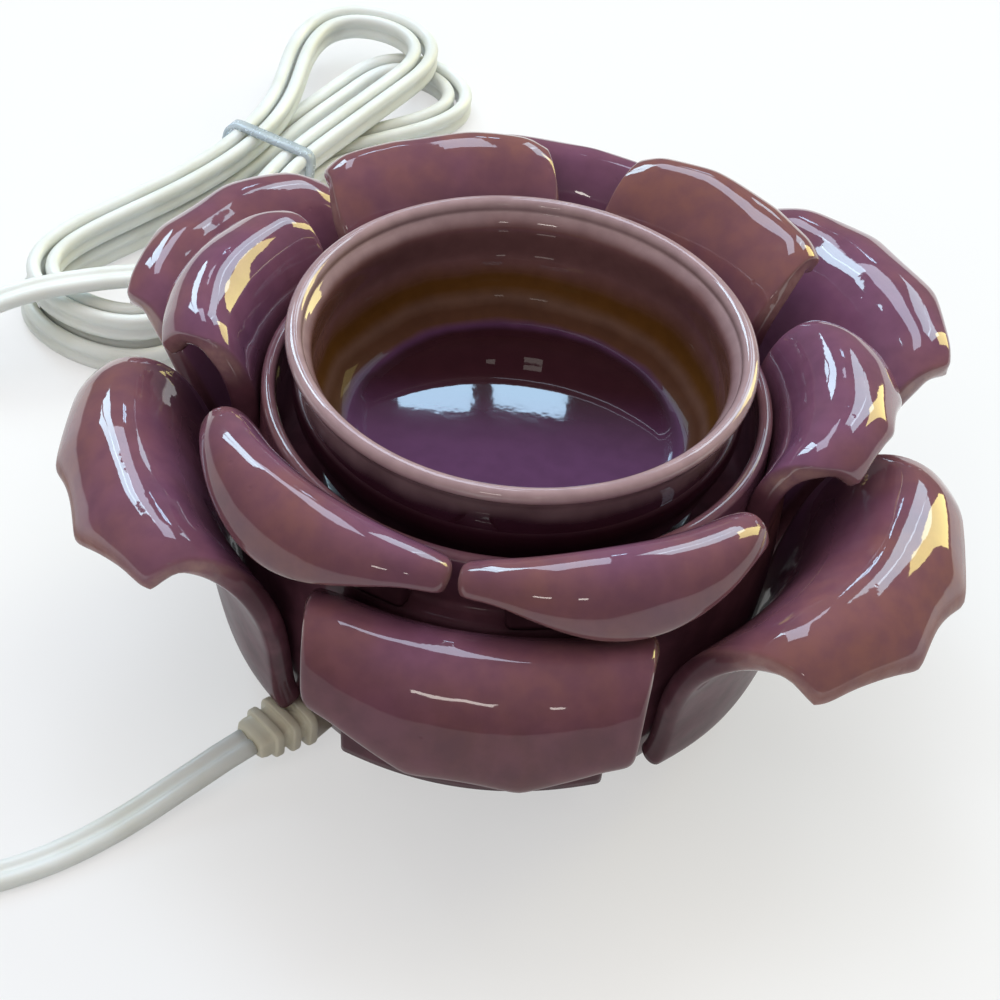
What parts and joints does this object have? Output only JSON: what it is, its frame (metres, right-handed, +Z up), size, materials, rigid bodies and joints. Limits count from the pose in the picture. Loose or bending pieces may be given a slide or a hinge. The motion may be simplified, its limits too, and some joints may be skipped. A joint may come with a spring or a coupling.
{
  "type": "electric wax warmer",
  "caption": "Glazed ceramic flower with rows of rolled petals round a lift-off wax dish on a heated plate, with a flat cord, in-line rocker switch and plug.",
  "frame": {"origin": "on the table, under the middle of the flower", "axes": "+Z up; the front of the flower faces -Y and the cord leaves it at the front left, towards -X and -Y"},
  "size_m": [0.2572, 0.3283, 0.0852],
  "materials": {
    "glaze": "gloss",
    "dish_glaze": "gloss",
    "cast_aluminium": "cast",
    "element": "matte",
    "mica": "satin",
    "zinc_steel": "satin",
    "brass": "bright",
    "wire_sleeve": "woven",
    "splice_cap": "satin",
    "black_plastic": "satin",
    "foot_rubber": "matte",
    "cord_vinyl": "satin",
    "ivory_plastic": "satin",
    "tie_plastic": "gloss"
  },
  "bodies": {
    "warmer": {"flower_body": "glaze", "inner_petal_1": "glaze", "inner_petal_2": "glaze", "inner_petal_3": "glaze", "inner_petal_4": "glaze", "inner_petal_5": "glaze", "inner_petal_6": "glaze", "outer_petal_1": "glaze", "outer_petal_2": "glaze", "outer_petal_3": "glaze", "outer_petal_4": "glaze", "outer_petal_5": "glaze", "outer_petal_6": "glaze", "heater_plate": "cast_aluminium", "heating_element": "element", "mica_disc": "mica", "heater_pan": "zinc_steel", "fuse_clip": "zinc_steel", "clamp_screw": "zinc_steel", "thermal_fuse": "brass", "heater_lead_neutral": "wire_sleeve", "heater_lead_live": "wire_sleeve", "fuse_lead": "wire_sleeve", "splice_neutral": "splice_cap", "splice_live": "splice_cap", "cord_core_neutral": "wire_sleeve", "cord_core_live": "wire_sleeve", "strain_relief": "ivory_plastic", "base_cover": "black_plastic", "standoff_1": "zinc_steel", "standoff_2": "zinc_steel", "standoff_3": "zinc_steel", "base_screw_1": "zinc_steel", "base_screw_2": "zinc_steel", "base_screw_3": "zinc_steel", "rubber_foot_1": "foot_rubber", "rubber_foot_2": "foot_rubber", "rubber_foot_3": "foot_rubber", "rubber_foot_4": "foot_rubber", "switch_base": "ivory_plastic", "switch_cover": "ivory_plastic", "rocker_pin": "zinc_steel", "switch_screw_1": "zinc_steel", "switch_screw_2": "zinc_steel", "switch_contact_1": "brass", "switch_contact_2": "brass", "plug_body": "ivory_plastic", "plug_blade_1": "brass", "plug_blade_2": "brass", "cord_lead": "cord_vinyl", "cord_return": "cord_vinyl", "cord_hank": "cord_vinyl", "cord_tail": "cord_vinyl", "cord_tie": "tie_plastic"},
    "dish": {"wax_dish": "dish_glaze"},
    "rocker": {"switch_rocker": "ivory_plastic"}
  },
  "joints": [
    {"name": "dish_lift", "type": "slide", "parent": "warmer", "child": "dish", "axis": [0, 0, 1], "range_m": [0, 0.06]},
    {"name": "rocker_tip", "type": "hinge", "parent": "warmer", "child": "rocker", "pos_m": [-0.15, -0.014, 0.0133], "axis": [1, 0, 0], "range_deg": [0, 16]}
  ]
}
